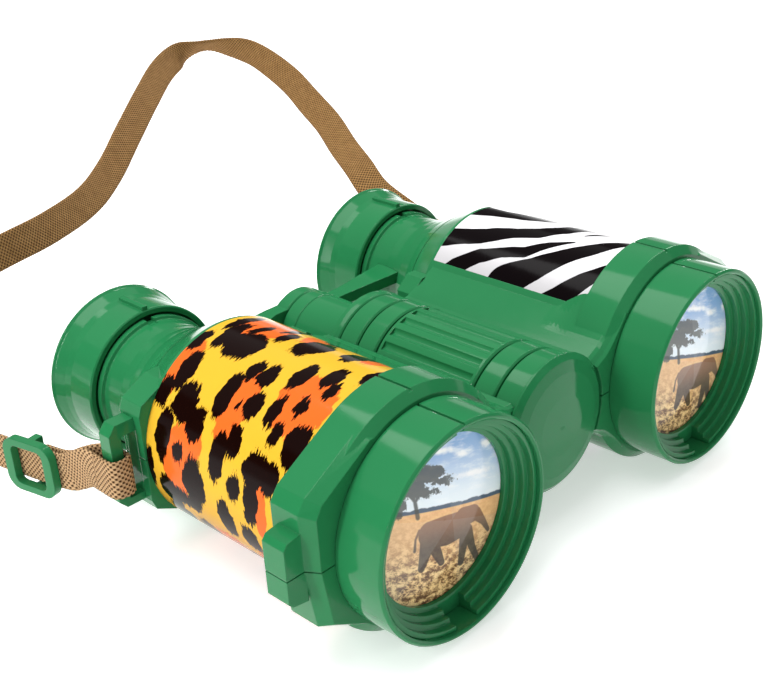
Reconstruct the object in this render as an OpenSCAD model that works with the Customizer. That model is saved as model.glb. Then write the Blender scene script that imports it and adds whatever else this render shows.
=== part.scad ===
// Toy field binoculars with a folding centre hinge, a focus wheel and a webbing neck strap.
// Frame: +Z up, objectives face -Y, eyepieces face +Y, origin on the table under the middle.
// The sub-parts are drawn in a bench frame, with Y = 0 at the front rims and Z = 0 on the optical axes,
// and placed() moves them into the part's own frame.

/* [Barrels] */
// Distance between the two optical axes with the barrels fully open
axis_spacing = 72.5; // [72:0.5:74]
// Radius of each barrel over its printed wrap
barrel_r = 20; // [19.8:0.1:20.2]
// Wall thickness of the moulded shells
wall = 2; // [1.6:0.1:2.2]
// Height of the optical axes above the table
axis_h = 21; // [20.6:0.1:21.4]
// Radius of the front collars
collar_r = 22.3; // [22:0.1:22.6]
// Thickness of the printed wraps
wrap_t = 0.4; // [0.3:0.1:0.5]
// Half the angle that a wrap leaves open on the hinge side, in degrees
wrap_gap = 41.5; // [40:0.5:43]

/* [Hinge] */
// Outer radius of the hinge knuckles and the focus wheel
knuckle_r = 12.9; // [12.7:0.1:13]
// Outer radius of the hinge tubes
hinge_tube_r = 10; // [9.8:0.1:10.2]
// Radial running clearance of every shaft in its bore
running = 0.05; // [0.03:0.01:0.08]
// Number of flutes round the focus wheel
flutes = 24; // [18:1:26]

/* [Eyepieces] */
// Radius of the eyepiece tubes
tube_r = 13.3; // [13.1:0.1:13.4]
// Radius of the eyecups
eyecup_r = 15.6; // [15.4:0.1:15.8]
// Radius of the eyecup flange that meets the face
flange_r = 17.1; // [16.8:0.1:17.4]
// Radius of the focus sleeve and the arm rings
sleeve_r = 8.4; // [8.2:0.1:8.6]

/* [Optics] */
// Clear radius of the objective lenses
objective_r = 15.3; // [15:0.1:15.5]
// Radius of the eye lenses
eye_lens_r = 10.6; // [10:0.1:10.8]

/* [Strap] */
// Width of the neck webbing
strap_w = 7.8; // [7:0.1:8]
// Thickness of the neck webbing
strap_t = 1; // [0.8:0.1:1.2]

/* [Hidden] */

green = [0.13, 0.55, 0.33];
clear = [0.75, 0.85, 0.95, 0.45];
webbing = [0.55, 0.42, 0.24];

// Stations along the optical axis, counted from the front rims
hood_back = 9.9;
collar_front = 10;
collar_back = 18.8;
wrap_back = 59.4;
cone_front = 60;
shoulder_back = 66.5;
tube_back = 82.5;
eyecup_front = 84;
length = 96;

half_gap = 0.1;
axis_x = axis_spacing / 2;
bore_r = barrel_r - wrap_t - wall;
spigot_r = barrel_r - 1.75;
neck_r = 13;
shoulder_r = 16.8;
cradle_r = knuckle_r + 0.3;
cap_r = 13.7;
spindle_r = 3.4;
screw_r = 3;
eyecup_bore_r = 12.45;
base = -axis_h;

// Knuckle stations: the two bodies take turns along the hinge
left_knuckles = [[11.05, 16.05], [51.45, 56.25]];
right_knuckles = [[16.35, 21.25], [46.45, 51.15]];
wheel_front = 21.6;
wheel_back = 46.1;

module placed() translate([0, -length / 2, axis_h]) children();
// The right barrel is drawn as it stands, and the left one is its mirror image
module on_side(s) {
    if (s > 0) children();
    else mirror([1, 0, 0]) children();
}
module at_barrel() translate([axis_x, 0, 0]) children();

// Solid of revolution about Y from [radius, y] points
module turned(points, fn = 128) rotate([-90, 0, 0]) rotate_extrude($fn = fn) polygon(points);
module rod(y0, y1, r, fn = 96) translate([0, y0, 0]) rotate([-90, 0, 0])
    cylinder(h = y1 - y0, r = r, $fn = fn);
// Prism along Y from [x, z] points
module prism(y0, y1, points) translate([0, y1, 0]) rotate([90, 0, 0]) linear_extrude(y1 - y0) polygon(points);
module slab(x0, x1, y0, y1, z0, z1) translate([x0, y0, z0]) cube([x1 - x0, y1 - y0, z1 - z0]);

function ease(t) = let (c = max(0, min(1, t))) c * c * (3 - 2 * c);
function mix(a, b, t) = a + (b - a) * t;

// ---- Barrel shells ----

// Height of the web between barrel and hinge, behind and within the collar
web_tip_x = 10.4;
web_end_x = 21.4;
function web_h(x) = mix(7.9, 8.2, ease((x - web_tip_x) / 2)) + 0.48 * max(0, x - 12.2);
function collar_h(x) = 8.2 + 9.15 * pow(max(0, x - 12.2) / 10.05, 1.5);
function web_top(x, y) =
    mix(max(web_h(x), collar_h(x)), web_h(x), ease((y - collar_back) / 7.5))
    - 1.6 * (1 - ease((y - collar_front) / 2));

module web() {
    xs = [for (i = [0:12]) mix(web_tip_x, web_end_x, i / 12)];
    ys = concat([collar_front, 10.7, 11.4, 12.2], [for (j = [0:8]) collar_back + j * 7.6 / 8], [59]);
    nx = len(xs);
    ny = len(ys);
    n = nx * ny;
    top = [for (y = ys) for (x = xs) [x, y, web_top(x, y)]];
    bottom = [for (p = top) [p[0], p[1], -p[2]]];
    quads = concat(
        [for (j = [0:ny - 2]) for (i = [0:nx - 2])
            [j * nx + i, (j + 1) * nx + i, (j + 1) * nx + i + 1, j * nx + i + 1]],
        [for (j = [0:ny - 2]) for (i = [0:nx - 2])
            [n + j * nx + i, n + j * nx + i + 1, n + (j + 1) * nx + i + 1, n + (j + 1) * nx + i]],
        [for (i = [0:nx - 2]) [n + i, i, i + 1, n + i + 1]],
        [for (i = [0:nx - 2]) let (a = (ny - 1) * nx + i) [n + a + 1, a + 1, a, n + a]],
        [for (j = [0:ny - 2]) let (a = j * nx) [n + a + nx, a + nx, a, n + a]],
        [for (j = [0:ny - 2]) let (a = j * nx + nx - 1) [n + a, a, a + nx, n + a + nx]]
    );
    faces = [for (q = quads) for (k = [0, 1]) k == 0 ? [q[0], q[1], q[2]] : [q[0], q[2], q[3]]];
    polyhedron(concat(top, bottom), faces);
}

// Faceted outer side of the collar: flat slope, upright face and flat foot
facets_full = [
    [-6, 19.3], [11.15, 19.3], [22.8, 12.6], [24.5, 10.3], [24.5, 0], [22.6, -11.8], [6.5, base], [-6, base]
];
facets_front = [
    [-6, 18.6], [10.6, 18.2], [21.6, 11.7], [22.9, 9.6], [22.9, 0], [21.2, -11], [6.1, base + 1.6],
    [-6, base + 1.6]
];

module collar() {
    chamfer_back = collar_front + 2.6;
    at_barrel() intersection() {
        union() {
            turned([[0, collar_front], [barrel_r + 0.6, collar_front], [collar_r, collar_front + 1.6],
                [collar_r, collar_back], [0, collar_back]]);
            prism(chamfer_back, collar_back, facets_full);
            hull() {
                prism(collar_front, collar_front + 0.1, facets_front);
                prism(chamfer_back - 0.1, chamfer_back, facets_full);
            }
        }
        slab(-40, 40, collar_front - 1, collar_back + 1, base, 40);
    }
}

// Grip block that straddles the parting line on the collar's outer face
module grip_block() at_barrel()
    prism(12.3, 17.4, [[24, -5.7], [27.2, -5.2], [28, -4.4], [28, 5.6], [27.2, 6.6], [24, 7.1]]);

// Squared boss on the shoulder that holds the strap lug
module lug_boss() at_barrel()
    prism(wrap_back, 65.4, [[10, 13.6], [13.9, 13.6], [19.6, 10.8], [20.4, 8.8], [20.4, -8.8], [19.6, -10.8],
        [13.9, -13.6], [10, -13.6]]);

// Low heel under the shoulder: with the collar's flat foot it keeps the barrel level on a table
heel_w = 9;
heel_l = 4.5;
module heel() at_barrel()
    slab(-heel_w / 2, heel_w / 2, cone_front + 0.4, cone_front + 0.4 + heel_l, base, -17);

// Stepped block behind the web, beside the hinge's rear collar
module web_step() prism(58.5, 63, [[13.3, -8.1], [13.3, 8.1], [16.5, 10.8], [18.8, 10.9], [21.4, 8.4],
    [24, 8], [24, -8], [21.4, -8.4], [18.8, -10.9], [16.5, -10.8]]);

module wrap_band() at_barrel() rotate([-90, 0, 0]) rotate([0, 0, wrap_gap - 180])
    rotate_extrude(angle = 2 * (180 - wrap_gap), $fn = 128)
        polygon([[barrel_r - wrap_t, collar_back], [barrel_r, collar_back], [barrel_r, wrap_back],
            [barrel_r - wrap_t, wrap_back]]);

module knuckle_tongue(station) slab(11, 17.6, station[0] + 0.4, station[1] - 0.4, -2.4, 2.4);

module lug_plate() at_barrel()
    prism(61.4, 64.6, [[17, -7.4], [20.4, -8.8], [24.4, -8.8], [25.9, -7.2], [25.9, 6.4], [24.4, 8.2],
        [20.4, 8.2], [17, 6.8]]);

// Shell screws under each web: [x, y, height of the head's seat]
screw_places = [[15.6, 25, -8], [15.6, 34, -8], [15.6, 43, -8]];
shell_screw_l = 12;
shell_screw_r = 1.2;
screw_head_r = 2.2;

module housing(s) {
    knuckles = s > 0 ? right_knuckles : left_knuckles;
    difference() {
        union() {
            at_barrel() turned([[0, collar_front + 1], [barrel_r, collar_front + 1], [barrel_r, cone_front],
                [shoulder_r, shoulder_back], [0, shoulder_back]]);
            collar();
            web();
            web_step();
            lug_boss();
            grip_block();
            heel();
        }
        wrap_band();
        at_barrel() turned([[0, 0], [spigot_r, 0], [spigot_r, 14.2], [bore_r, 15], [bore_r, cone_front - 1],
            [neck_r + running, 63], [neck_r + running, 80], [0, 80]]);
        rod(0, 11, cap_r + 0.35);
        rod(10.9, 70, cradle_r);
        for (k = knuckles) knuckle_tongue(k);
        lug_plate();
        at_barrel() slab(-0.3, 0.3, 0, collar_back, collar_r - 0.45, collar_r + 2);
        for (p = screw_places) translate(p) {
            cylinder(h = shell_screw_l, r = shell_screw_r, $fn = 32);
            translate([0, 0, -10]) cylinder(h = 10, r = screw_head_r + 0.1, $fn = 32);
        }
    }
}

module upper_shell(s) color(green) placed() on_side(s) intersection() {
    housing(s);
    slab(0, 80, 0, 80, half_gap, 40);
}

module lower_shell(s) color(green) placed() on_side(s) intersection() {
    housing(s);
    slab(0, 80, 0, 80, -40, -half_gap);
}

module shell_screws(s) color([0.7, 0.7, 0.72]) placed() on_side(s)
    for (p = screw_places) translate(p) difference() {
        union() {
            cylinder(h = shell_screw_l, r = shell_screw_r, $fn = 32);
            translate([0, 0, -1.4]) cylinder(h = 1.4, r = screw_head_r, $fn = 32);
        }
        slab(-1.5, 1.5, -0.25, 0.25, -2, -0.9);
        slab(-0.25, 0.25, -1.5, 1.5, -2, -0.9);
    }

module wrap(s, tint) color(tint) placed() on_side(s) wrap_band();

// ---- Front ends ----

module hood(s) color(green) placed() on_side(s) at_barrel() difference() {
    turned([[18.95, 0.25], [19.3, 0], [19.6, 0], [barrel_r, 0.4], [barrel_r, hood_back],
        [spigot_r, hood_back], [spigot_r, 14], [16.4, 14], [16.4, 9.6], [14.6, 9.6], [14.6, 8.4],
        [15.8, 8.4], [15.8, 6], [18.95, 6]]);
    slab(-0.3, 0.3, -1, hood_back + 1, barrel_r - 0.45, barrel_r + 1);
}

// Stepped ring that clamps the objective, open at the bottom and keyed at the top
module retaining_ring(s) color(green) placed() on_side(s) at_barrel() difference() {
    turned([[18.9, 0.9], [18.9, 5.95], [objective_r, 5.95], [objective_r, 5.1], [16.2, 4.9], [16.2, 3.7],
        [17.1, 3.5], [17.1, 2.4], [18, 2.2], [18, 0.9]]);
    slab(-2.6, 2.6, 0, 5, -20, -15.6);
    slab(-0.8, 0.8, 0, 5, 16.4, 20);
}

// Lens with two shallow curved faces between y0 and y1, thickest on the axis
module lens(r, rim, y0, y1, bulge) turned(concat(
    [for (i = [0:8]) [r * i / 8, y0 - bulge * (1 - pow(i / 8, 2))]],
    [[rim, y0], [rim, y1]],
    [for (i = [8:-1:0]) [r * i / 8, y1 + bulge * (1 - pow(i / 8, 2))]]
));

module objective_lens(s) color(clear) placed() on_side(s) at_barrel()
    lens(objective_r - 0.1, 15.75, 6, 8.3, 1);

// ---- Hinge and focus ----

module knuckle_ring(station, edge = 0.35) turned([
    [hinge_tube_r, station[0]], [knuckle_r - edge, station[0]], [knuckle_r, station[0] + edge],
    [knuckle_r, station[1] - edge], [knuckle_r - edge, station[1]], [hinge_tube_r, station[1]]
]);

module hinge_knuckles(s) color(green) placed() on_side(s) {
    stations = s > 0 ? right_knuckles : left_knuckles;
    difference() {
        union() for (k = stations) {
            knuckle_ring(k);
            knuckle_tongue(k);
        }
        rod(0, 70, hinge_tube_r + (s > 0 ? running : 0));
    }
}

module front_hinge_tube() color(green) placed() difference() {
    rod(10.85, 21.35, hinge_tube_r);
    rod(12, 30, screw_r + running);
}

module rear_hinge_tube() color(green) placed() difference() {
    rod(46.35, 59, hinge_tube_r);
    rod(40, 70, sleeve_r + running);
}

module hinge_front_cap() color(green) placed()
    turned([[0, 8.6], [6, 8.7], [10.4, 9.05], [12.6, 9.6], [cap_r, 10.4], [cap_r, 10.85], [0, 10.85]]);

module hinge_rear_collar() color(green) placed()
    turned([[hinge_tube_r, 56.4], [12.6, 56.4], [12.9, 56.7], [13.1, 57.6], [13.1, 58.6], [12.7, 59],
        [hinge_tube_r, 59]]);

module focus_wheel() color(green) placed() difference() {
    turned([[screw_r, 30], [9, 30], [9, wheel_front], [knuckle_r - 0.4, wheel_front],
        [knuckle_r, wheel_front + 0.4], [knuckle_r, wheel_back - 0.4], [knuckle_r - 0.4, wheel_back],
        [9, wheel_back], [9, 38], [screw_r, 38]]);
    for (i = [0:flutes - 1]) rotate([0, i * 360 / flutes, 0]) translate([0, 0, knuckle_r + 0.5])
        rod(wheel_front + 1, wheel_back - 1, 1.1, 20);
}

module focus_screw() color([0.7, 0.7, 0.72]) placed()
    turned(concat([[0, 12.1], [screw_r, 12.1], [screw_r, 50]],
        [for (i = [0:7]) for (k = [0, 1]) [screw_r - 0.35 * (1 - k), 50.5 + i + 0.5 * k]],
        [[0, 58.2]]), 48);

module focus_sleeve() color(green) placed() difference() {
    union() {
        rod(47, 73.2, sleeve_r);
        rod(73, 81.1, spindle_r, 48);
    }
    rod(40, 70, screw_r + running, 48);
    rod(77, 90, 1.5, 32);
}

module focus_end_cap() color(green) placed() {
    turned([[0, 81.15], [7.4, 81.15], [7.4, 81.9], [6.4, 82.6], [0, 82.9]], 64);
    rod(77.2, 81.2, 1.5, 32);
}

// ---- Eyepieces ----

module tube_outside() turned([[0, 53], [neck_r, 53], [neck_r, shoulder_back + 0.1],
    [shoulder_r, shoulder_back + 0.1], [15.4, 69.4], [14.3, 72.4], [13.6, 75], [tube_r, 77.5],
    [tube_r, tube_back], [13.9, tube_back + 0.3], [13.9, tube_back + 1.6], [12.4, tube_back + 1.6],
    [12.4, 91], [0, 91]]);

module eyepiece_tube(s) color(green) placed() on_side(s) at_barrel() difference() {
    tube_outside();
    rod(50, 100, eye_lens_r);
    slab(-0.9, 0.9, tube_back - 1, eyecup_front + 0.3, tube_r - 0.2, 20);
}

module eye_lens(s) color(clear) placed() on_side(s) at_barrel() lens(9.4, eye_lens_r, 87, 89.4, 0.8);

// Ring on the focus spindle and the flat bar that carries one eyepiece
module focus_arm(s) color(green) placed() on_side(s) {
    ring = s > 0 ? [73.35, 77.25] : [77.4, 81];
    difference() {
        union() {
            turned([[spindle_r + running, ring[0]], [sleeve_r - 0.3, ring[0]], [sleeve_r, ring[0] + 0.3],
                [sleeve_r, ring[1] - 0.3], [sleeve_r - 0.3, ring[1]], [spindle_r + running, ring[1]]], 96);
            translate([0, 0, 3.9]) linear_extrude(2.4) polygon([[5.4, ring[0]], [8.8, ring[0]], [24.5, 72.6],
                [24.5, 79.8], [8.8, ring[1]], [5.4, ring[1]]]);
        }
        at_barrel() tube_outside();
    }
}

module eyecup(s) color(green) placed() on_side(s) at_barrel() {
    turned([[eyecup_bore_r, 86.4], [14.35, 86.4], [14.35, eyecup_front], [eyecup_r - 0.3, eyecup_front],
        [eyecup_r, eyecup_front + 0.3], [eyecup_r, 91], [15.9, 92.6], [flange_r - 0.4, 95],
        [flange_r, 95.5], [flange_r, length - 0.3], [flange_r - 0.5, length], [15.6, 95.6], [13.6, 93.6],
        [11.8, 92.3], [11.4, 91.2], [eyecup_bore_r, 91.2]]);
    slab(-0.6, 0.6, eyecup_front + 0.2, 92.2, eyecup_r - 0.4, eyecup_r + 0.7);
}

// ---- Strap ----

module strap_lug(s) color(green) placed() on_side(s) difference() {
    lug_plate();
    at_barrel() slab(20.4, 23.5, 60, 66, -7.2, 5.6);
}

// Each stop is [x, y, z] on the webbing's centre line and the direction of its width, in the part's frame.
neck_route = [
    [[63, 18.1, 19], [0, 0, 1]], [[63, 20, 19], [0, 0, 1]], [[63, 22, 19], [0, 0, 1]],
    [[62.4, 27, 19], [0.1, 0.1, 1]], [[60.8, 35, 19.3], [0.1, 0.1, 1]],
    [[58, 44, 20.5], [0.2, 0, 1]], [[56, 54, 25], [0.5, -0.3, 0.8]],
    [[56, 64, 29], [0.7, -0.5, 0.5]], [[59, 73, 33], [0.8, -0.5, 0.4]], [[65, 85, 35], [0.8, -0.4, 0.4]],
    [[71, 97, 38], [0.8, -0.3, 0.5]], [[76, 110, 41], [0.7, -0.1, 0.7]], [[81, 123, 44], [0.6, 0, 0.8]],
    [[84, 136, 47], [0.4, 0, 0.9]], [[85, 146, 49], [0.1, -0.2, 1]], [[83, 154, 50], [-0.3, -0.5, 0.8]],
    [[78, 159, 51], [-0.6, -0.6, 0.5]], [[69, 160, 50], [-0.8, -0.3, 0.5]], [[56, 152, 49], [-0.8, 0, 0.5]],
    [[40, 139, 46], [-0.8, 0.2, 0.6]], [[25, 128, 41], [-0.7, 0.3, 0.6]], [[12, 119, 36], [-0.5, 0.4, 0.7]],
    [[-2, 109, 34], [-0.4, 0.4, 0.8]], [[-19, 100, 34], [-0.2, 0.4, 0.9]], [[-35, 95, 34], [0, 0.3, 1]],
    [[-52, 93, 32], [0, 0.2, 1]], [[-70, 94, 27], [0, 0.1, 1]], [[-88, 97, 19], [0, 0, 1]],
    [[-104, 102, 11], [0, 0, 1]], [[-116, 110, 6], [0, 0, 1]], [[-122, 121, 4], [0, 0, 1]],
    [[-117, 132, 4], [0, 0, 1]], [[-106, 137, 4], [0, 0, 1]], [[-94, 132, 4], [0, 0, 1]],
    [[-85, 120, 4], [0, 0, 1]], [[-80, 105, 5.5], [0, 0, 1]], [[-77, 90, 8], [0, 0, 1]],
    [[-74, 75, 11.5], [0, 0, 1]], [[-71.5, 63, 14], [0, 0, 1]], [[-69.2, 52, 15.2], [0, 0, 1]],
    [[-67.8, 46, 15.4], [0, 0, 1]], [[-64.2, 29.5, 15.4], [0, 0, 1]], [[-63.5, 26, 16.3], [0, 0, 1]],
    [[-63.1, 23.5, 17.6], [0, 0, 1]], [[-63, 21.6, 18.6], [0, 0, 1]], [[-63, 19.8, 19], [0, 0, 1]],
    [[-63, 18.1, 19], [0, 0, 1]]
];

// Webbing folded round a lug's outer post, from the strap's end and back inside it
loop_route = [
    [[63, 18, 19], [0, 0, 1]], [[63, 16.5, 19], [0, 0, 1]], [[63, 13.8, 19], [0, 0, 1]],
    [[62.4, 12.6, 19], [0, 0, 1]], [[60.9, 12.3, 19], [0, 0, 1]], [[59.5, 12.6, 19], [0, 0, 1]],
    [[58.9, 13.8, 19], [0, 0, 1]], [[58.9, 17, 19], [0, 0, 1]]
];
left_loop_end = [[[59.7, 20, 18.9], [0, 0, 1]], [[60.9, 23.5, 17.5], [0, 0, 1]],
    [[61.8, 26, 16.2], [0, 0, 1]], [[62.7, 29.5, 15.4], [0, 0, 1]], [[63.7, 34, 15.4], [0, 0, 1]]];
right_loop_end = [[[59.8, 20.5, 19], [0, 0, 1]], [[60.7, 24, 19], [0, 0, 1]],
    [[60.6, 28, 19], [0, 0.1, 1]], [[59.4, 33, 19.2], [0.1, 0.1, 1]]];

function unit(v) = v / norm(v);
function heading(route, i) = unit(route[min(i + 1, len(route) - 1)][0] - route[max(i - 1, 0)][0]);
function across(route, i) = let (t = heading(route, i), w = route[i][1]) unit(w - (w * t) * t);

// The stops with one more between each two, on a smooth curve through them
function smooth(route) = let (n = len(route) - 1) [
    for (i = [0:n - 1])
        let (a = route[max(i - 1, 0)], b = route[i], c = route[i + 1], d = route[min(i + 2, n)])
        for (stop = [b, [(9 * (b[0] + c[0]) - a[0] - d[0]) / 16, (b[1] + c[1]) / 2]]) stop,
    route[n]
];

// Eight-sided flat section swept along a route
module webbing_sweep(route) {
    w = strap_w / 2;
    t = strap_t / 2;
    outline = [[w, 0.4 * t], [w - 0.3, t], [0.3 - w, t], [-w, 0.4 * t],
        [-w, -0.4 * t], [0.3 - w, -t], [w - 0.3, -t], [w, -0.4 * t]];
    points = [for (i = [0:len(route) - 1]) let (a = across(route, i), n = cross(heading(route, i), a))
        for (p = outline) route[i][0] + p[0] * a + p[1] * n];
    last = 8 * (len(route) - 1);
    sides = [for (i = [0:len(route) - 2]) for (k = [0:7]) let (a = 8 * i + k, b = 8 * i + (k + 1) % 8)
        for (f = [[a, a + 8, b + 8], [a, b + 8, b]]) f];
    polyhedron(points, concat(sides, [[0, 1, 2, 3, 4, 5, 6, 7]], [[for (k = [7:-1:0]) last + k]]));
}

module neck_strap() color(webbing) webbing_sweep(smooth(neck_route));
module strap_loop(s) color(webbing) on_side(s)
    webbing_sweep(concat(loop_route, s > 0 ? right_loop_end : left_loop_end));

// Three-bar slide on the webbing: a rounded frame outside it and a middle bar inside it
buckle_at = [-65.51, 35.5, 15.4];
buckle_turn = 12.3;
buckle_window = strap_w + 0.5;
buckle_l = 12.6;
buckle_h = buckle_window + 3;
module placed_buckle() translate(buckle_at) rotate([0, 0, buckle_turn]) children();
module strap_buckle() color(green) placed_buckle() {
    translate([-2.3, 0, 0]) rotate([90, 0, 90]) linear_extrude(1.7) difference() {
        offset(r = 3, $fn = 48) square([buckle_l - 6, buckle_h - 6], center = true);
        offset(r = 1.4, $fn = 32) square([buckle_l - 7.2, buckle_window - 2.8], center = true);
    }
    for (z = [buckle_window / 2 + 0.3, -buckle_window / 2 - 1.2])
        slab(-0.8, 1.7, -0.9, 0.9, z, z + 0.9);
    slab(0.7, 1.7, -0.9, 0.9, -buckle_window / 2 - 0.4, buckle_window / 2 + 0.4);
}

upper_shell(-1);  // left_upper_shell
lower_shell(-1);  // left_lower_shell
upper_shell(1);  // right_upper_shell
lower_shell(1);  // right_lower_shell
hood(-1);  // left_hood
hood(1);  // right_hood
retaining_ring(-1);  // left_retaining_ring
retaining_ring(1);  // right_retaining_ring
objective_lens(-1);  // left_objective_lens
objective_lens(1);  // right_objective_lens
wrap(-1, [0.95, 0.75, 0.25]);  // leopard_wrap
wrap(1, [0.9, 0.9, 0.92]);  // zebra_wrap
strap_lug(-1);  // left_strap_lug
strap_lug(1);  // right_strap_lug
shell_screws(-1);  // left_shell_screws
shell_screws(1);  // right_shell_screws
hinge_knuckles(-1);  // left_hinge_knuckles
hinge_knuckles(1);  // right_hinge_knuckles
front_hinge_tube();
rear_hinge_tube();
hinge_front_cap();
hinge_rear_collar();
focus_wheel();
focus_screw();
focus_sleeve();
focus_end_cap();
eyepiece_tube(-1);  // left_eyepiece_tube
eyepiece_tube(1);  // right_eyepiece_tube
focus_arm(-1);  // left_focus_arm
focus_arm(1);  // right_focus_arm
eye_lens(-1);  // left_eye_lens
eye_lens(1);  // right_eye_lens
eyecup(-1);  // left_eyecup
eyecup(1);  // right_eyecup
neck_strap();
strap_loop(-1);  // left_strap_loop
strap_loop(1);  // right_strap_loop
strap_buckle();
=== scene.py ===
"""The looks of the toy binoculars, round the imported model.

Webbing, printed wraps, pictured lenses, moulded plastic, a floor and lights."""
import functools
import math

import bpy
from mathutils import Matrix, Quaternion, Vector


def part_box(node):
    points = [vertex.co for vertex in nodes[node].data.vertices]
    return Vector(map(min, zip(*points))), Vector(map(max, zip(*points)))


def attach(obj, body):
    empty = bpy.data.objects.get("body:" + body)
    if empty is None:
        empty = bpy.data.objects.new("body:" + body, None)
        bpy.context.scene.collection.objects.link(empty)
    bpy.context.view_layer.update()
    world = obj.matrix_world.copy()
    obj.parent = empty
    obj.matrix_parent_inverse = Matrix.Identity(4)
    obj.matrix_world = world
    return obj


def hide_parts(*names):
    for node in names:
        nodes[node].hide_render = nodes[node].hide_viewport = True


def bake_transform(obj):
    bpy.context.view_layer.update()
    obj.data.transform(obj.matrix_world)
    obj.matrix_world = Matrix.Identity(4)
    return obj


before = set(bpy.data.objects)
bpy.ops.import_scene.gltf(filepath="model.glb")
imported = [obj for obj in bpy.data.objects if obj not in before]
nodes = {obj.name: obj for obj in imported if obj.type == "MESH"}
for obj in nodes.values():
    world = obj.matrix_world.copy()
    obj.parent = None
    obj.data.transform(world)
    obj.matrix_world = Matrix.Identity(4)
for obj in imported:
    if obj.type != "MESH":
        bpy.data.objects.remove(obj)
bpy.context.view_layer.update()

MM = 0.001
left_low, left_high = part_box("leopard_wrap")
BARREL_R = (left_high.z - left_low.z) / 2
AXIS_Z = (left_high.z + left_low.z) / 2
LEFT_X = left_low.x + BARREL_R
RIGHT_X = -LEFT_X
FRONT_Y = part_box("left_hood")[0].y

# ---- Camera ----

# In metres, degrees and, for the lens and the sensor, millimetres
CAMERA_AT = Vector((-0.16157, -0.16146, 0.13812))
CAMERA_AIM = Vector((0.0037, 0.0101, 0.02))
CAMERA_ROLL = -3.6
CAMERA_LENS = 59.18
SENSOR_WIDTH = 36


def add_camera():
    data = bpy.data.cameras.new("camera")
    data.lens = CAMERA_LENS
    data.sensor_width = SENSOR_WIDTH
    camera = bpy.data.objects.new("camera", data)
    bpy.context.scene.collection.objects.link(camera)
    camera.location = CAMERA_AT
    roll = Quaternion((0, 0, 1), math.radians(CAMERA_ROLL))
    camera.rotation_mode = "QUATERNION"
    camera.rotation_quaternion = (CAMERA_AIM - CAMERA_AT).to_track_quat("-Z", "Y") @ roll
    bpy.context.scene.camera = camera


add_camera()

# ---- Neck webbing ----

# Each stop is a point on the webbing's centre line, in metres, and the direction of its width
NECK_ROUTE = [
    ((0.063, 0.0181, 0.019), (0, 0, 1)), ((0.063, 0.02, 0.019), (0, 0, 1)),
    ((0.063, 0.022, 0.019), (0, 0, 1)), ((0.0624, 0.027, 0.019), (0.1, 0.1, 1)),
    ((0.0608, 0.035, 0.0193), (0.1, 0.1, 1)), ((0.058, 0.044, 0.0205), (0.2, 0, 1)),
    ((0.056, 0.054, 0.025), (0.5, -0.3, 0.8)), ((0.056, 0.064, 0.029), (0.7, -0.5, 0.5)),
    ((0.059, 0.073, 0.033), (0.8, -0.5, 0.4)), ((0.065, 0.085, 0.035), (0.8, -0.4, 0.4)),
    ((0.071, 0.097, 0.038), (0.8, -0.3, 0.5)), ((0.076, 0.11, 0.041), (0.7, -0.1, 0.7)),
    ((0.081, 0.123, 0.044), (0.6, 0, 0.8)), ((0.084, 0.136, 0.047), (0.4, 0, 0.9)),
    ((0.085, 0.146, 0.049), (0.1, -0.2, 1)), ((0.083, 0.154, 0.05), (-0.3, -0.5, 0.8)),
    ((0.078, 0.159, 0.051), (-0.6, -0.6, 0.5)), ((0.069, 0.16, 0.05), (-0.8, -0.3, 0.5)),
    ((0.056, 0.152, 0.049), (-0.8, 0, 0.5)), ((0.04, 0.139, 0.046), (-0.8, 0.2, 0.6)),
    ((0.025, 0.128, 0.041), (-0.7, 0.3, 0.6)), ((0.012, 0.119, 0.036), (-0.5, 0.4, 0.7)),
    ((-0.002, 0.109, 0.034), (-0.4, 0.4, 0.8)), ((-0.019, 0.1, 0.034), (-0.2, 0.4, 0.9)),
    ((-0.035, 0.095, 0.034), (0, 0.3, 1)), ((-0.052, 0.093, 0.032), (0, 0.2, 1)),
    ((-0.07, 0.094, 0.027), (0, 0.1, 1)), ((-0.088, 0.097, 0.019), (0, 0, 1)),
    ((-0.104, 0.102, 0.011), (0, 0, 1)), ((-0.116, 0.11, 0.006), (0, 0, 1)),
    ((-0.122, 0.121, 0.004), (0, 0, 1)), ((-0.117, 0.132, 0.004), (0, 0, 1)),
    ((-0.106, 0.137, 0.004), (0, 0, 1)), ((-0.094, 0.132, 0.004), (0, 0, 1)),
    ((-0.085, 0.12, 0.004), (0, 0, 1)), ((-0.08, 0.105, 0.0055), (0, 0, 1)),
    ((-0.077, 0.09, 0.008), (0, 0, 1)), ((-0.074, 0.075, 0.0115), (0, 0, 1)),
    ((-0.0715, 0.063, 0.014), (0, 0, 1)), ((-0.0692, 0.052, 0.0152), (0, 0, 1)),
    ((-0.0678, 0.046, 0.0154), (0, 0, 1)), ((-0.0642, 0.0295, 0.0154), (0, 0, 1)),
    ((-0.0635, 0.026, 0.0163), (0, 0, 1)), ((-0.0631, 0.0235, 0.0176), (0, 0, 1)),
    ((-0.063, 0.0216, 0.0186), (0, 0, 1)), ((-0.063, 0.0198, 0.019), (0, 0, 1)),
    ((-0.063, 0.0181, 0.019), (0, 0, 1)),
]
# The webbing folded round a lug's outer post, on the right barrel
LOOP_ROUTE = [
    ((0.063, 0.018, 0.019), (0, 0, 1)), ((0.063, 0.0165, 0.019), (0, 0, 1)),
    ((0.063, 0.0138, 0.019), (0, 0, 1)), ((0.0624, 0.0126, 0.019), (0, 0, 1)),
    ((0.0609, 0.0123, 0.019), (0, 0, 1)), ((0.0595, 0.0126, 0.019), (0, 0, 1)),
    ((0.0589, 0.0138, 0.019), (0, 0, 1)), ((0.0589, 0.017, 0.019), (0, 0, 1)),
]
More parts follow.
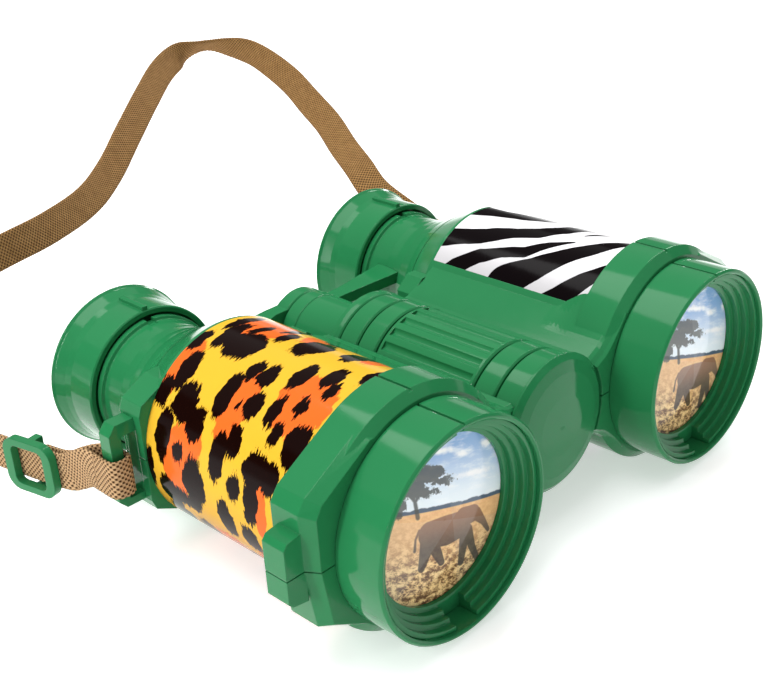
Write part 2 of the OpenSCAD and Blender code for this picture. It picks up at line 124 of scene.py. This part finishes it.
# The two folded ends, each drawn on the right: the left one is mirrored
LEFT_LOOP_END = [
    ((0.0597, 0.02, 0.0189), (0, 0, 1)), ((0.0609, 0.0235, 0.0175), (0, 0, 1)),
    ((0.0618, 0.026, 0.0162), (0, 0, 1)), ((0.0627, 0.0295, 0.0154), (0, 0, 1)),
    ((0.0637, 0.034, 0.0154), (0, 0, 1)),
]
RIGHT_LOOP_END = [
    ((0.0598, 0.0205, 0.019), (0, 0, 1)), ((0.0607, 0.024, 0.019), (0, 0, 1)),
    ((0.0606, 0.028, 0.019), (0, 0.1, 1)), ((0.0594, 0.033, 0.0192), (0.1, 0.1, 1)),
]
WEBBING_W = 7.8 * MM
WEBBING_T = 1.0 * MM
YARNS = 15
YARN_PITCH = 0.5 * MM
YARN_RELIEF = 0.07 * MM
SELVEDGE = 0.25 * MM
# How much painted light the webbing carries at each piece's start and end: 0 or less is its own olive and 1
# is a tan that stands in for light falling on it
STRAP_PAINTED_LIGHT = (-2.33, 1.0)
RIGHT_LOOP_PAINTED_LIGHT = (0.0, 1.0)
LEFT_LOOP_PAINTED_LIGHT = (0.9, 1.0)


def spline(points, i, t):
    """Catmull-Rom curve between points i and i + 1."""
    a, b = points[max(i - 1, 0)], points[i]
    c, d = points[i + 1], points[min(i + 2, len(points) - 1)]
    return b + 0.5 * t * (c - a + t * (2 * a - 5 * b + 4 * c - d + t * (3 * b - a - 3 * c + d)))


def smooth_route(stops, step, fine=60):
    """Evenly spaced [point, width direction] pairs along the curve through the stops.

    The curve is first cut into fine pieces between each two stops."""
    points = [Vector(p) for p, _ in stops]
    widths = [Vector(w) for _, w in stops]
    dense = [(spline(points, i, k / fine), spline(widths, i, k / fine))
             for i in range(len(stops) - 1) for k in range(fine)] + [(points[-1], widths[-1])]
    lengths = [0.0]
    for (p, _), (q, _) in zip(dense, dense[1:]):
        lengths.append(lengths[-1] + (q - p).length)
    count = round(lengths[-1] / step)
    spaced, j = [], 0
    for k in range(count + 1):
        target = lengths[-1] * k / count
        while j < len(dense) - 2 and lengths[j + 1] < target:
            j += 1
        share = (target - lengths[j]) / (lengths[j + 1] - lengths[j])
        spaced.append((dense[j][0].lerp(dense[j + 1][0], share), dense[j][1].lerp(dense[j + 1][1], share)))
    return spaced


def route_length(route):
    return sum((q - p).length for (p, _), (q, _) in zip(route, route[1:]))


def webbing_outline():
    """[across, thickness, yarn number, side] points round the section: one a face for each warp yarn."""
    half_w, half_t = WEBBING_W / 2, WEBBING_T / 2 - YARN_RELIEF
    pitch = (WEBBING_W - 2 * SELVEDGE) / (YARNS - 1)
    face = [(k - (YARNS - 1) / 2) * pitch for k in range(YARNS)]
    upper = [(x, half_t, k, 1) for k, x in enumerate(face)]
    lower = [(x, -half_t, k, -1) for k, x in reversed(list(enumerate(face)))]
    return upper + [(half_w, 0, YARNS, 0)] + lower + [(-half_w, 0, -1, 0)]


def webbing(name, stops, painted_light):
    """A woven band along the stops, with every crossing of warp and weft raised or sunk in its mesh."""
    route = smooth_route(stops, YARN_PITCH)
    outline = webbing_outline()
    size = len(outline)
    painted_light_start, painted_light_end = painted_light
    vertices, weave = [], []
    for i, (point, width) in enumerate(route):
        ahead = route[min(i + 1, len(route) - 1)][0] - route[max(i - 1, 0)][0]
        across = (width - width.project(ahead)).normalized()
        out = ahead.cross(across).normalized()
        # Painted light: the share of tan along the piece
        pale = max(0.0, painted_light_start + (painted_light_end - painted_light_start) * i / len(route))
        for x, t, yarn, side in outline:
            raised = side * YARN_RELIEF * (-1) ** (i + yarn)
            vertices.append(point + across * x + out * (t + raised))
            weave.append((i, yarn, pale))
    faces = [(i * size + k, i * size + (k + 1) % size, (i + 1) * size + (k + 1) % size, (i + 1) * size + k)
             for i in range(len(route) - 1) for k in range(size)]
    last = (len(route) - 1) * size
    faces += [tuple(reversed(range(size))), tuple(range(last, last + size))]
    piece = add_piece(name, vertices, faces)
    store(piece, "weave", weave)
    return piece, route


def add_piece(name, vertices, faces, smooth=True):
    mesh = bpy.data.meshes.new(name)
    mesh.from_pydata([tuple(v) for v in vertices], [], faces)
    mesh.polygons.foreach_set("use_smooth", [smooth] * len(mesh.polygons))
    mesh.update()
    piece = bpy.data.objects.new(name, mesh)
    bpy.context.scene.collection.objects.link(piece)
    return piece


def store(piece, name, values):
    attribute = piece.data.attributes.new(name, "FLOAT_VECTOR", "POINT")
    attribute.data.foreach_set("vector", [x for v in values for x in v])


def mirrored(stops):
    return [((-p[0], p[1], p[2]), (-w[0], w[1], w[2])) for p, w in stops]


def make_strap():
    strap, route = webbing("neck_webbing", NECK_ROUTE, STRAP_PAINTED_LIGHT)
    right_loop, _ = webbing("right_webbing_loop", LOOP_ROUTE + RIGHT_LOOP_END, RIGHT_LOOP_PAINTED_LIGHT)
    left_loop, _ = webbing("left_webbing_loop", mirrored(LOOP_ROUTE + LEFT_LOOP_END), LEFT_LOOP_PAINTED_LIGHT)
    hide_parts("neck_strap")
    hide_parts("right_strap_loop")
    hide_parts("left_strap_loop")
    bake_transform(strap)
    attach(right_loop, "right_barrel")
    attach(left_loop, "left_barrel")
    return strap, right_loop, left_loop, route


strap, right_loop, left_loop, strap_route = make_strap()
round(route_length(strap_route), 3)

# ---- Procedural patterns ----


class Field:
    """A number or a vector that varies over a surface. Ordinary operators add nodes to the material."""

    def __init__(self, tree, socket):
        self.tree = tree
        self.socket = socket

    def node(self, kind, inputs, output=0, **settings):
        made = self.tree.nodes.new(kind)
        for key, value in settings.items():
            setattr(made, key, value)
        for key, value in inputs.items():
            plug(made.inputs[key], value, self.tree)
        return Field(self.tree, made.outputs[output])

    def math(self, operation, *others, clamp=False):
        values = dict(enumerate((self, *others)))
        return self.node("ShaderNodeMath", values, operation=operation, use_clamp=clamp)

    def __add__(self, other):
        return self.math("ADD", other)

    def __sub__(self, other):
        return self.math("SUBTRACT", other)

    def __mul__(self, other):
        return self.math("MULTIPLY", other)

    def __truediv__(self, other):
        return self.math("DIVIDE", other)

    def smooth(self, low, high):
        """0 at low, 1 at high, and a smooth step between them."""
        if low > high:
            return self.smooth(high, low).one_minus()
        inputs = {"Value": self, "From Min": low, "From Max": high}
        return self.node("ShaderNodeMapRange", inputs, interpolation_type="SMOOTHSTEP")

    def one_minus(self):
        return self.node("ShaderNodeMath", {0: 1.0, 1: self}, operation="SUBTRACT")

    def noise(self, scale, detail, roughness=0.5):
        """Smooth noise at this place, about 0.5 on average."""
        inputs = {"Vector": self, "Scale": scale, "Detail": detail, "Roughness": roughness}
        return self.node("ShaderNodeTexNoise", inputs)

    def vector_math(self, operation, *others, output="Vector"):
        values = dict(enumerate((self, *others)))
        return self.node("ShaderNodeVectorMath", values, output, operation=operation)

    def split(self):
        made = self.tree.nodes.new("ShaderNodeSeparateXYZ")
        plug(made.inputs[0], self, self.tree)
        return [Field(self.tree, o) for o in made.outputs]


def plug(socket, value, tree):
    if isinstance(value, Field):
        tree.links.new(value.socket, socket)
    elif isinstance(value, (tuple, list)) and len(value) == 3 and len(socket.default_value) == 4:
        socket.default_value = (*value, 1.0)
    else:
        socket.default_value = value


def vector(x, y):
    field = x if isinstance(x, Field) else y
    return field.node("ShaderNodeCombineXYZ", {0: x, 1: y})


def blend(amount, low, high):
    """Colour low where amount is 0 and colour high where it is 1."""
    mix = amount.tree.nodes.new("ShaderNodeMix")
    mix.data_type = "RGBA"
    plug(mix.inputs[0], amount, amount.tree)
    plug(mix.inputs[6], low, amount.tree)
    plug(mix.inputs[7], high, amount.tree)
    return Field(amount.tree, mix.outputs[2])


# Farther than any print reaches along the barrel, in millimetres
BEYOND = 500.0


def away_from(place, at, period):
    """The way from a point of the pattern to this place. With a period, it repeats along the first axis."""
    away = place.vector_math("SUBTRACT", (at[0], at[1], 0.0))
    if period:
        away = away.vector_math("WRAP", (period / 2, BEYOND, 1.0), (-period / 2, -BEYOND, -1.0))
    return away


def spot(place, at, radii, period=None):
    """Distance outside an ellipse, roughly, and below 0 in it."""
    reach = away_from(place, at, period).vector_math("DIVIDE", (*radii, 1.0))
    return (reach.vector_math("LENGTH", output="Value") - 1.0) * min(radii)


def stroke(place, start, end, period=None):
    """Distance outside a tapering stroke between two [x, y, half width] stops, and below 0 in it."""
    run = Vector((end[0] - start[0], end[1] - start[1], 0.0))
    away = away_from(place, start, period)
    share = away.vector_math("DOT_PRODUCT", run / run.length_squared, output="Value")
    share = share.math("ADD", 0.0, clamp=True)
    nearest = share.node("ShaderNodeVectorMath", {0: run, 3: share}, operation="SCALE")
    gap = away.vector_math("SUBTRACT", nearest).vector_math("LENGTH", output="Value")
    return gap - (share * (end[2] - start[2]) + start[2])


def nearest_of(distances):
    return functools.reduce(lambda a, b: a.math("MINIMUM", b), distances)


def painted(place, paths, period=None):
    """Distance outside a set of strokes, each of them a list of [x, y, half width] stops."""
    return nearest_of([stroke(place, a, b, period) for path in paths for a, b in zip(path, path[1:])])


# Rays that feel out each rounded edge
BEVEL_SAMPLES = 6


class Finish:
    """A material under construction, with its Principled shader's sockets as plain arguments."""

    def __init__(self, name, **sockets):
        self.material = bpy.data.materials.new(name)
        self.material.use_nodes = True
        self.tree = self.material.node_tree
        self.shader = self.tree.nodes["Principled BSDF"]
        self.set(**sockets)

    def set(self, **sockets):
        for key, value in sockets.items():
            plug(self.shader.inputs[key.replace("_", " ").title().replace("Ior", "IOR")], value, self.tree)

    def place(self):
        """Where a point of the surface is, in metres in the part's frame."""
        made = self.tree.nodes.new("ShaderNodeTexCoord")
        return Field(self.tree, made.outputs["Object"])

    def attribute(self, name):
        made = self.tree.nodes.new("ShaderNodeAttribute")
        made.attribute_name = name
        return Field(self.tree, made.outputs["Vector"])

    def relief(self, height, depth, edge=0.0):
        """Bumps of this height over edges that are rounded by this radius."""
        inputs = {"Height": height, "Distance": depth, "Strength": 1.0}
        if edge:
            inputs["Normal"] = self.rounded(edge)
        self.set(Normal=height.node("ShaderNodeBump", inputs))

    def rounded(self, radius):
        made = self.tree.nodes.new("ShaderNodeBevel")
        made.samples = BEVEL_SAMPLES
        made.inputs["Radius"].default_value = radius
        return Field(self.tree, made.outputs[0])


def dress(material, *names):
    for name in names:
        slots = nodes[name].material_slots
        for slot in slots:
            slot.material = material


# ---- Moulded green plastic ----


def green_plastic():
    finish = Finish("green_plastic", Specular_IOR_Level=0.18)
    place = finish.place()
    mottle = place.noise(60.0, 3.0)
    finish.set(Base_Color=blend(mottle, (0.014, 0.165, 0.055), (0.02, 0.19, 0.066)))
    wear = place.noise(900.0, 3.0, 0.6)
    finish.set(Roughness=wear * 0.05 + 0.07)
    finish.relief(place.noise(2500.0, 2.0), 0.003 * MM, edge=0.25 * MM)
    return finish.material


GREEN_NODES = [n for s in ("left_", "right_") for n in (
    s + "upper_shell", s + "lower_shell", s + "hood", s + "retaining_ring", s + "strap_lug",
    s + "hinge_knuckles", s + "eyepiece_tube", s + "focus_arm", s + "eyecup")] + [
    "front_hinge_tube", "rear_hinge_tube", "hinge_front_cap", "hinge_rear_collar", "focus_wheel",
    "focus_sleeve", "focus_end_cap", "strap_buckle"]
dress(green_plastic(), *GREEN_NODES)


def round_edges(node, radius, sharper_than=50):
    rounding = node.modifiers.new("rounded_edges", "BEVEL")
    rounding.width = radius
    rounding.segments = 3
    rounding.limit_method = "ANGLE"
    rounding.angle_limit = math.radians(sharper_than)


BUCKLE_EDGE = 0.55 * MM
round_edges(nodes["strap_buckle"], BUCKLE_EDGE)


def screw_steel():
    finish = Finish("screw_steel", Metallic=1.0, Base_Color=(0.62, 0.62, 0.64))
    place = finish.place()
    finish.set(Roughness=place.noise(1500.0, 3.0) * 0.2 + 0.2)
    finish.relief(place.noise(3000.0, 2.0), 0.004 * MM)
    return finish.material


dress(screw_steel(), "left_shell_screws", "right_shell_screws", "focus_screw")

# ---- Printed wraps ----


def unrolled(place, axis_x):
    """The wrap laid flat, in millimetres: round the barrel from its top, and along it from the front rims."""
    x, y, z = place.split()
    angle = (x - axis_x).math("ARCTAN2", z - AXIS_Z)
    return angle * (BARREL_R / MM), (y - FRONT_Y) * (1 / MM)


# Leopard print, in millimetres: [round the barrel, along it, half size round it, half size along it].
# Black spots lie over orange patches on a yellow ground.
LEOPARD_SPOTS = [
    (-24.6, 55, 5, 1.8), (-26.4, 50.6, 1.7, 1.1), (-36.5, 54.3, 3.5, 2.4), (-36.2, 49.5, 2, 4),
    (-31, 46, 4.6, 2.8), (-17.5, 51.5, 3.6, 2.8), (-20.5, 47.3, 3, 2), (-17.5, 57.8, 2.8, 1.8),
    (-12, 55.3, 4.2, 1.7), (-6, 58.4, 2.8, 1.2), (-3, 49.3, 4.1, 4), (-1.5, 54.4, 4.2, 1.8),
    (4, 57.2, 4.6, 1.3), (3.2, 51.3, 2, 0.8), (4, 45.6, 2.6, 1.2), (9, 48, 3.2, 1.2),
    (-13.6, 43.5, 4.4, 1.8), (-7.3, 41.6, 2.3, 1.3), (-7, 38.2, 2.6, 1.7), (-13, 36.6, 2.4, 1.5),
    (-24, 40, 4, 1.8), (-20.2, 37, 2.8, 1.8), (-14.3, 39.5, 0.9, 0.4), (-27.7, 35, 2.3, 1.3),
    (-35, 38, 4, 2), (-37, 32, 2.8, 2), (-28.6, 30.6, 4, 1.8), (-23, 30.2, 3.3, 2.9),
    (-23.4, 26.4, 2.8, 2), (-12.4, 31.8, 2.6, 1.3), (-16, 28.9, 2.1, 1.3), (-4.3, 32.5, 3.5, 1.5),
    (-9.6, 27.4, 1.8, 0.9), (-1.8, 27.2, 3, 1.7), (-4.9, 24.7, 2, 1), (-16.4, 23.6, 3.6, 2.5),
    (4.5, 38.8, 4.5, 2.8), (8.2, 31.3, 4.4, 1.8), (-32.4, 59, 4, 1), (-44, 47, 3.4, 2.6),
    (-42, 54, 2.4, 3), (-46.5, 35, 3.4, 2.2), (-41, 26, 3.8, 2.4), (-48, 27, 1.6, 2.6), (-32, 22, 4, 1.6),
    (12, 40, 2.4, 3), (3, 22, 4, 1.4),
]
LEOPARD_PATCHES = [
    (-29, 51.4, 7, 3.2), (-24, 48, 3.6, 3.6), (-12, 57.8, 6.4, 3), (5, 51.3, 7.6, 5),
    (-14.5, 39.9, 7, 2.9), (-9, 27.4, 6.6, 5.8), (-30, 28, 5, 1.4), (9, 42, 4.4, 2.4),
    (10, 28.5, 3.6, 2.2), (-45, 41, 4.6, 4.6), (-44, 30, 4.4, 3),
]
# Zebra print: each stripe is a list of [round the barrel, along it, half width] stops in millimetres
ZEBRA_STRIPES = [
    [(8, 60, 1.2), (11, 57, 1.6), (14.4, 53.5, 1.9), (18.4, 49, 1.7), (20.6, 44, 1.3), (22.1, 39.5, 1.5),
     (25.9, 35.8, 1), (29, 31.6, 0.2)],
    [(0.8, 60, 3.2), (1.8, 54, 2.2), (3.5, 49, 2.5), (6, 45.5, 2.8), (10, 42.5, 3), (14.4, 40, 4.1),
     (18.9, 35, 3), (23.4, 31, 2.4), (28.4, 26.4, 2.1), (34.4, 22.3, 1.2), (38, 20, 0.4)],
    [(-11, 60, 2.4), (-8, 51.5, 2.3), (-4.8, 45, 1.8), (-2.5, 40.5, 2), (1.5, 37, 2.1), (6, 35.5, 2.2),
     (10, 31.5, 2.3), (14.4, 26.5, 2.5), (19.4, 23, 2), (23.4, 20, 1.5)],
    [(1.5, 31.7, 0.2), (4, 30.6, 0.6), (7, 29, 0.9), (10, 25.6, 1.3), (12.4, 21.6, 1.5), (13, 19, 1.5)],
]


# Painted shade: the leopard print grows browner from the first of these heights down to the second, for the
# shade under the barrel
PAINTED_SHADE_BELOW = 24 * MM
PAINTED_SHADE_FULL_AT = 3 * MM


def leopard_print():
    finish = Finish("leopard_print", Roughness=0.12, Specular_IOR_Level=0.06)
    place = finish.place()
    around, along = unrolled(place, LEFT_X)
    # Fine spikes of fur that run round the barrel, and uneven outlines, both in millimetres
    streaks = place.vector_math("MULTIPLY", (450.0, 3000.0, 450.0))
    fur = (streaks.noise(1.0, 3.0, 0.7) - 0.5) * 5.0 + (place.noise(260.0, 1.0) - 0.5) * 2.4
    spread = (place.noise(330.0, 2.0) - 0.5) * 2.6
    print_at = vector(around + fur, along + spread)
    # The print repeats after half a turn
    period = math.pi * BARREL_R / MM
    spots = nearest_of([spot(print_at, s[:2], s[2:], period) for s in LEOPARD_SPOTS])
    patches = nearest_of([spot(print_at, s[:2], s[2:], period) for s in LEOPARD_PATCHES])
    ground = blend(patches.smooth(0.3, 0.1), (0.7, 0.4, 0.03), (0.76, 0.13, 0.018))
    # Painted shade: the print is browner towards the bottom of the barrel
    painted_shade_amount = place.split()[2].smooth(PAINTED_SHADE_BELOW, PAINTED_SHADE_FULL_AT)
    ground_with_painted_shade = blend(painted_shade_amount * 0.85, ground, (0.26, 0.09, 0.015))
    finish.set(Base_Color=blend(spots.smooth(0.25, 0.15), ground_with_painted_shade, (0.006, 0.001, 0.0005)))
    finish.relief(place.noise(400.0, 2.0), 0.01 * MM, edge=0.1 * MM)
    return finish.material


def zebra_print():
    finish = Finish("zebra_print", Roughness=0.12, Specular_IOR_Level=0.06)
    place = finish.place()
    around, along = unrolled(place, RIGHT_X)
    sway = (place.noise(110.0, 2.0) - 0.5) * 1.6
    # The print repeats after a quarter turn
    period = math.pi / 2 * BARREL_R / MM
    stripes = painted(vector(around + sway, along), ZEBRA_STRIPES, period)
    # Painted shade with a faint random tone: the white grows grey towards the hinge side of the barrel
    tone_and_painted_shade = place.noise(60.0, 2.0) * 0.2 + around.smooth(-6.0, -17.0) * 0.8
    white_and_painted_shade = blend(tone_and_painted_shade, (0.88, 0.87, 0.89), (0.5, 0.48, 0.5))
    finish.set(Base_Color=blend(stripes.smooth(0.16, 0.04), white_and_painted_shade, (0.002, 0.0005, 0.001)))
    finish.relief(place.noise(400.0, 2.0), 0.01 * MM, edge=0.1 * MM)
    return finish.material


dress(leopard_print(), "leopard_wrap")
dress(zebra_print(), "zebra_wrap")

# ---- Lenses ----

# A walking elephant and a flat-topped tree in the painted reflection on each lens, in shares of the lens
# radius.
# Strokes are [across, up, half width] stops.
# The crown and the clouds are [across, up, half width, half height].
ELEPHANT_STROKES = [
    [(-0.22, -0.14, 0.17), (0.02, -0.13, 0.19), (0.24, -0.1, 0.17)],
    [(0.3, -0.02, 0.13), (0.47, 0.0, 0.11)],
    [(0.52, -0.02, 0.09), (0.64, -0.14, 0.05), (0.74, -0.28, 0.03)],
    [(0.32, -0.2, 0.09), (0.26, -0.6, 0.05)],
    [(0.36, -0.2, 0.09), (0.44, -0.42, 0.06), (0.55, -0.62, 0.045)],
    [(-0.25, -0.2, 0.12), (-0.36, -0.54, 0.05)],
    [(-0.2, -0.24, 0.1), (-0.06, -0.52, 0.05)],
    [(-0.37, -0.06, 0.02), (-0.43, -0.16, 0.015), (-0.45, -0.3, 0.02)],
]
TREE_STROKES = [
    [(-0.38, 0.1, 0.03), (-0.4, 0.3, 0.025), (-0.5, 0.42, 0.012)],
    [(-0.4, 0.28, 0.02), (-0.25, 0.46, 0.012)],
]
TREE_CROWN = [
    (-0.2, 0.58, 0.26, 0.1), (-0.46, 0.44, 0.24, 0.12), (0.02, 0.48, 0.16, 0.05),
    (-0.28, 0.38, 0.22, 0.06), (-0.68, 0.28, 0.16, 0.16),
]
CLOUDS = [
    (0.75, 0.82, 0.1, 0.05), (0.34, 0.75, 0.09, 0.04), (0.5, 0.5, 0.3, 0.04), (0.0, 0.82, 0.2, 0.04),
]
# The painted reflection falls to the right by this slope
REFLECTION_SLOPE = 0.33
# Painted reflection on the glass: facets that meet round a point near the middle, with every other one paler
REFLECTION_FACETS = 6
REFLECTION_FACET_CENTRE = (0.12, -0.05)


def painted_reflection_lens(name, axis_x, radius, shift):
    """Coated glass with a painted reflection of an elephant on an open plain under a cloudy sky.

    The painted reflection is built from back to front: sky, clouds, hills, field, tree, elephant, then a pale
    veil and paler facets, also painted reflection."""
    finish = Finish(name, Roughness=0.3, Specular_IOR_Level=0.1, Coat_Weight=0.5, Coat_Roughness=0.02)
    x, _, z = finish.place().split()
    p, q = (x - axis_x) / radius, (z - AXIS_Z) / radius
    u, v = p - shift[0], q + p * REFLECTION_SLOPE - shift[1]
    reflected_view = vector(u, v)
    ragged = vector(u, v).noise(9.0, 4.0, 0.7) - 0.5
    sky = blend(v.smooth(0.2, 0.95), (0.82, 0.9, 0.95), (0.2, 0.38, 0.7))
    streaks = vector(u, v * 3.0).noise(2.4, 5.0, 0.6).smooth(0.45, 0.7)
    puffs = nearest_of([spot(reflected_view, c[:2], c[2:]) for c in CLOUDS]) + ragged * 0.08
    sky = blend(streaks * 0.75, sky, (0.92, 0.95, 0.97))
    sky = blend(puffs.smooth(0.02, -0.03), sky, (0.95, 0.95, 0.97))
    hills = v + (vector(u, 0.0).noise(5.0, 3.0) - 0.5) * 0.08
    scene = blend(hills.smooth(0.205, 0.19), sky, (0.05, 0.085, 0.14))
    tufts = vector(u, v * 1.4).noise(9.0, 5.0, 0.75)
    straw = blend(tufts.smooth(0.38, 0.62), (0.42, 0.17, 0.045), (0.98, 0.72, 0.34))
    field = blend(v.smooth(-0.75, 0.1) * 0.8, straw, (0.86, 0.48, 0.2))
    field = blend(tufts.smooth(0.55, 0.4) * v.smooth(-0.2, -0.7), field, (0.12, 0.05, 0.02))
    scene = blend(v.smooth(0.155, 0.14), scene, field)
    crown = nearest_of([spot(reflected_view, c[:2], c[2:]) for c in TREE_CROWN]) + ragged * 0.22
    tree = painted(reflected_view, TREE_STROKES).math("MINIMUM", crown)
    scene = blend(tree.smooth(0.012, -0.012) * 0.9, scene, (0.03, 0.032, 0.022))
    hide = painted(reflected_view, ELEPHANT_STROKES)
    shade = blend(v.smooth(-0.35, 0.06), (0.03, 0.012, 0.006), (0.24, 0.105, 0.058))
    scene = blend(hide.smooth(0.008, -0.008) * 0.92, scene, shade)
    angle = (q - REFLECTION_FACET_CENTRE[1]).math("ARCTAN2", p - REFLECTION_FACET_CENTRE[0])
    turn = angle * (REFLECTION_FACETS / math.tau) + (REFLECTION_FACETS + 0.4)
    facets = turn.math("MODULO", 2.0).math("GREATER_THAN", 1.0)
    # Painted reflection: a pale veil that grows towards the lens's sides, and the paler facets
    painted_reflection_veil = u.math("ABSOLUTE") * 0.07 + facets * 0.06
    finish.set(Base_Color=blend(painted_reflection_veil, scene, (0.6, 0.68, 0.66)))
    return finish.material


# How far the painted reflection is moved on each lens, across and up
REFLECTION_SHIFTS = {"left": (0.0, 0.0), "right": (0.15, -0.1)}
for side, axis_x in (("left", LEFT_X), ("right", RIGHT_X)):
    low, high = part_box(side + "_objective_lens")
    reflected_view = painted_reflection_lens(side + "_lens_picture", axis_x, (high.x - low.x) / 2, REFLECTION_SHIFTS[side])
    dress(reflected_view, side + "_objective_lens")


def eye_glass():
    finish = Finish("eye_glass", Base_Color=(0.01, 0.02, 0.03), Roughness=0.03, Coat_Weight=1.0)
    place = finish.place()
    finish.relief(place.noise(300.0, 1.0), 0.002 * MM)
    return finish.material


dress(eye_glass(), "left_eye_lens", "right_eye_lens")

# ---- Webbing's material ----


def woven():
    finish = Finish("webbing_weave", Roughness=0.8, Specular_IOR_Level=0.15)
    along, yarn, pale = finish.attribute("weave").split()
    crown = (along * math.pi).math("COSINE") * (yarn * math.pi).math("COSINE")
    strand = finish.place().noise(500.0, 3.0)
    olive = blend(strand, (0.21, 0.105, 0.03), (0.4, 0.225, 0.08))
    # Olive is the webbing's own colour; the tan is painted light
    painted_light_tan = blend(strand, (0.42, 0.25, 0.12), (0.66, 0.44, 0.24))
    yarn_colour_and_painted_light = blend(pale.math("ADD", 0.0, clamp=True), olive, painted_light_tan)
    # Painted shade: the sunk crossings of the weave are painted near black, the raised ones in the yarn
    # colour
    finish.set(Base_Color=blend(crown.smooth(-0.7, 0.35), (0.06, 0.028, 0.01), yarn_colour_and_painted_light))
    finish.relief(crown, 0.08 * MM)
    return finish.material


webbing_finish = woven()
for piece in (strap, right_loop, left_loop):
    piece.data.materials.append(webbing_finish)

# ---- Floor and lights ----


FLOOR_HALF = 2.0
# [name, place, size, power in watts]: every light faces the middle of the binoculars
LIGHTS = [
    ("overhead", (-0.1, 0.15, 0.7), (0.6, 0.5), 4.2),
    ("left_card", (-0.6, 0.1, 0.3), (0.04, 0.5), 2.2),
    ("right_card", (0.5, 0.1, 0.4), (0.04, 0.6), 2.2),
]
LIT_POINT = Vector((0, 0, 0.02))
SKY_STRENGTH = 0.8


def add_floor():
    half = FLOOR_HALF
    floor = add_piece("floor", [(-half, -half, 0), (half, -half, 0), (half, half, 0), (-half, half, 0)],
                      [(0, 1, 2, 3)], smooth=False)
    # Its own faint light gives the pale shadows of a light table
    finish = Finish("light_table", Roughness=0.9, Specular_IOR_Level=0.1, Base_Color=(0.85, 0.85, 0.85),
                    Emission_Color=(1.0, 1.0, 1.0), Emission_Strength=0.5)
    finish.relief(finish.place().noise(200.0, 2.0), 0.02 * MM)
    floor.data.materials.append(finish.material)


def add_light(name, at, size, power):
    data = bpy.data.lights.new(name, "AREA")
    data.shape = "RECTANGLE"
    data.size, data.size_y = size
    data.energy = power
    light = bpy.data.objects.new(name, data)
    bpy.context.scene.collection.objects.link(light)
    light.location = at
    light.rotation_euler = (LIT_POINT - Vector(at)).to_track_quat("-Z", "Y").to_euler()


def add_world():
    """A white band round the horizon, a dark one above it and a bright ceiling, for crisp reflections."""
    world = bpy.data.worlds.new("studio")
    bpy.context.scene.world = world
    world.use_nodes = True
    tree = world.node_tree
    coordinates = tree.nodes.new("ShaderNodeTexCoord")
    height = Field(tree, coordinates.outputs["Generated"]).split()[2]
    sides = blend(height.smooth(0.12, 0.14), (0.95, 0.95, 0.95), (0.18, 0.18, 0.18))
    sky = blend(height.smooth(0.44, 0.47), sides, (0.75, 0.75, 0.75))
    plug(tree.nodes["Background"].inputs["Color"], sky, tree)
    tree.nodes["Background"].inputs["Strength"].default_value = SKY_STRENGTH


add_floor()
add_world()
for light in LIGHTS:
    add_light(*light)
bpy.context.scene.view_settings.view_transform = "Standard"
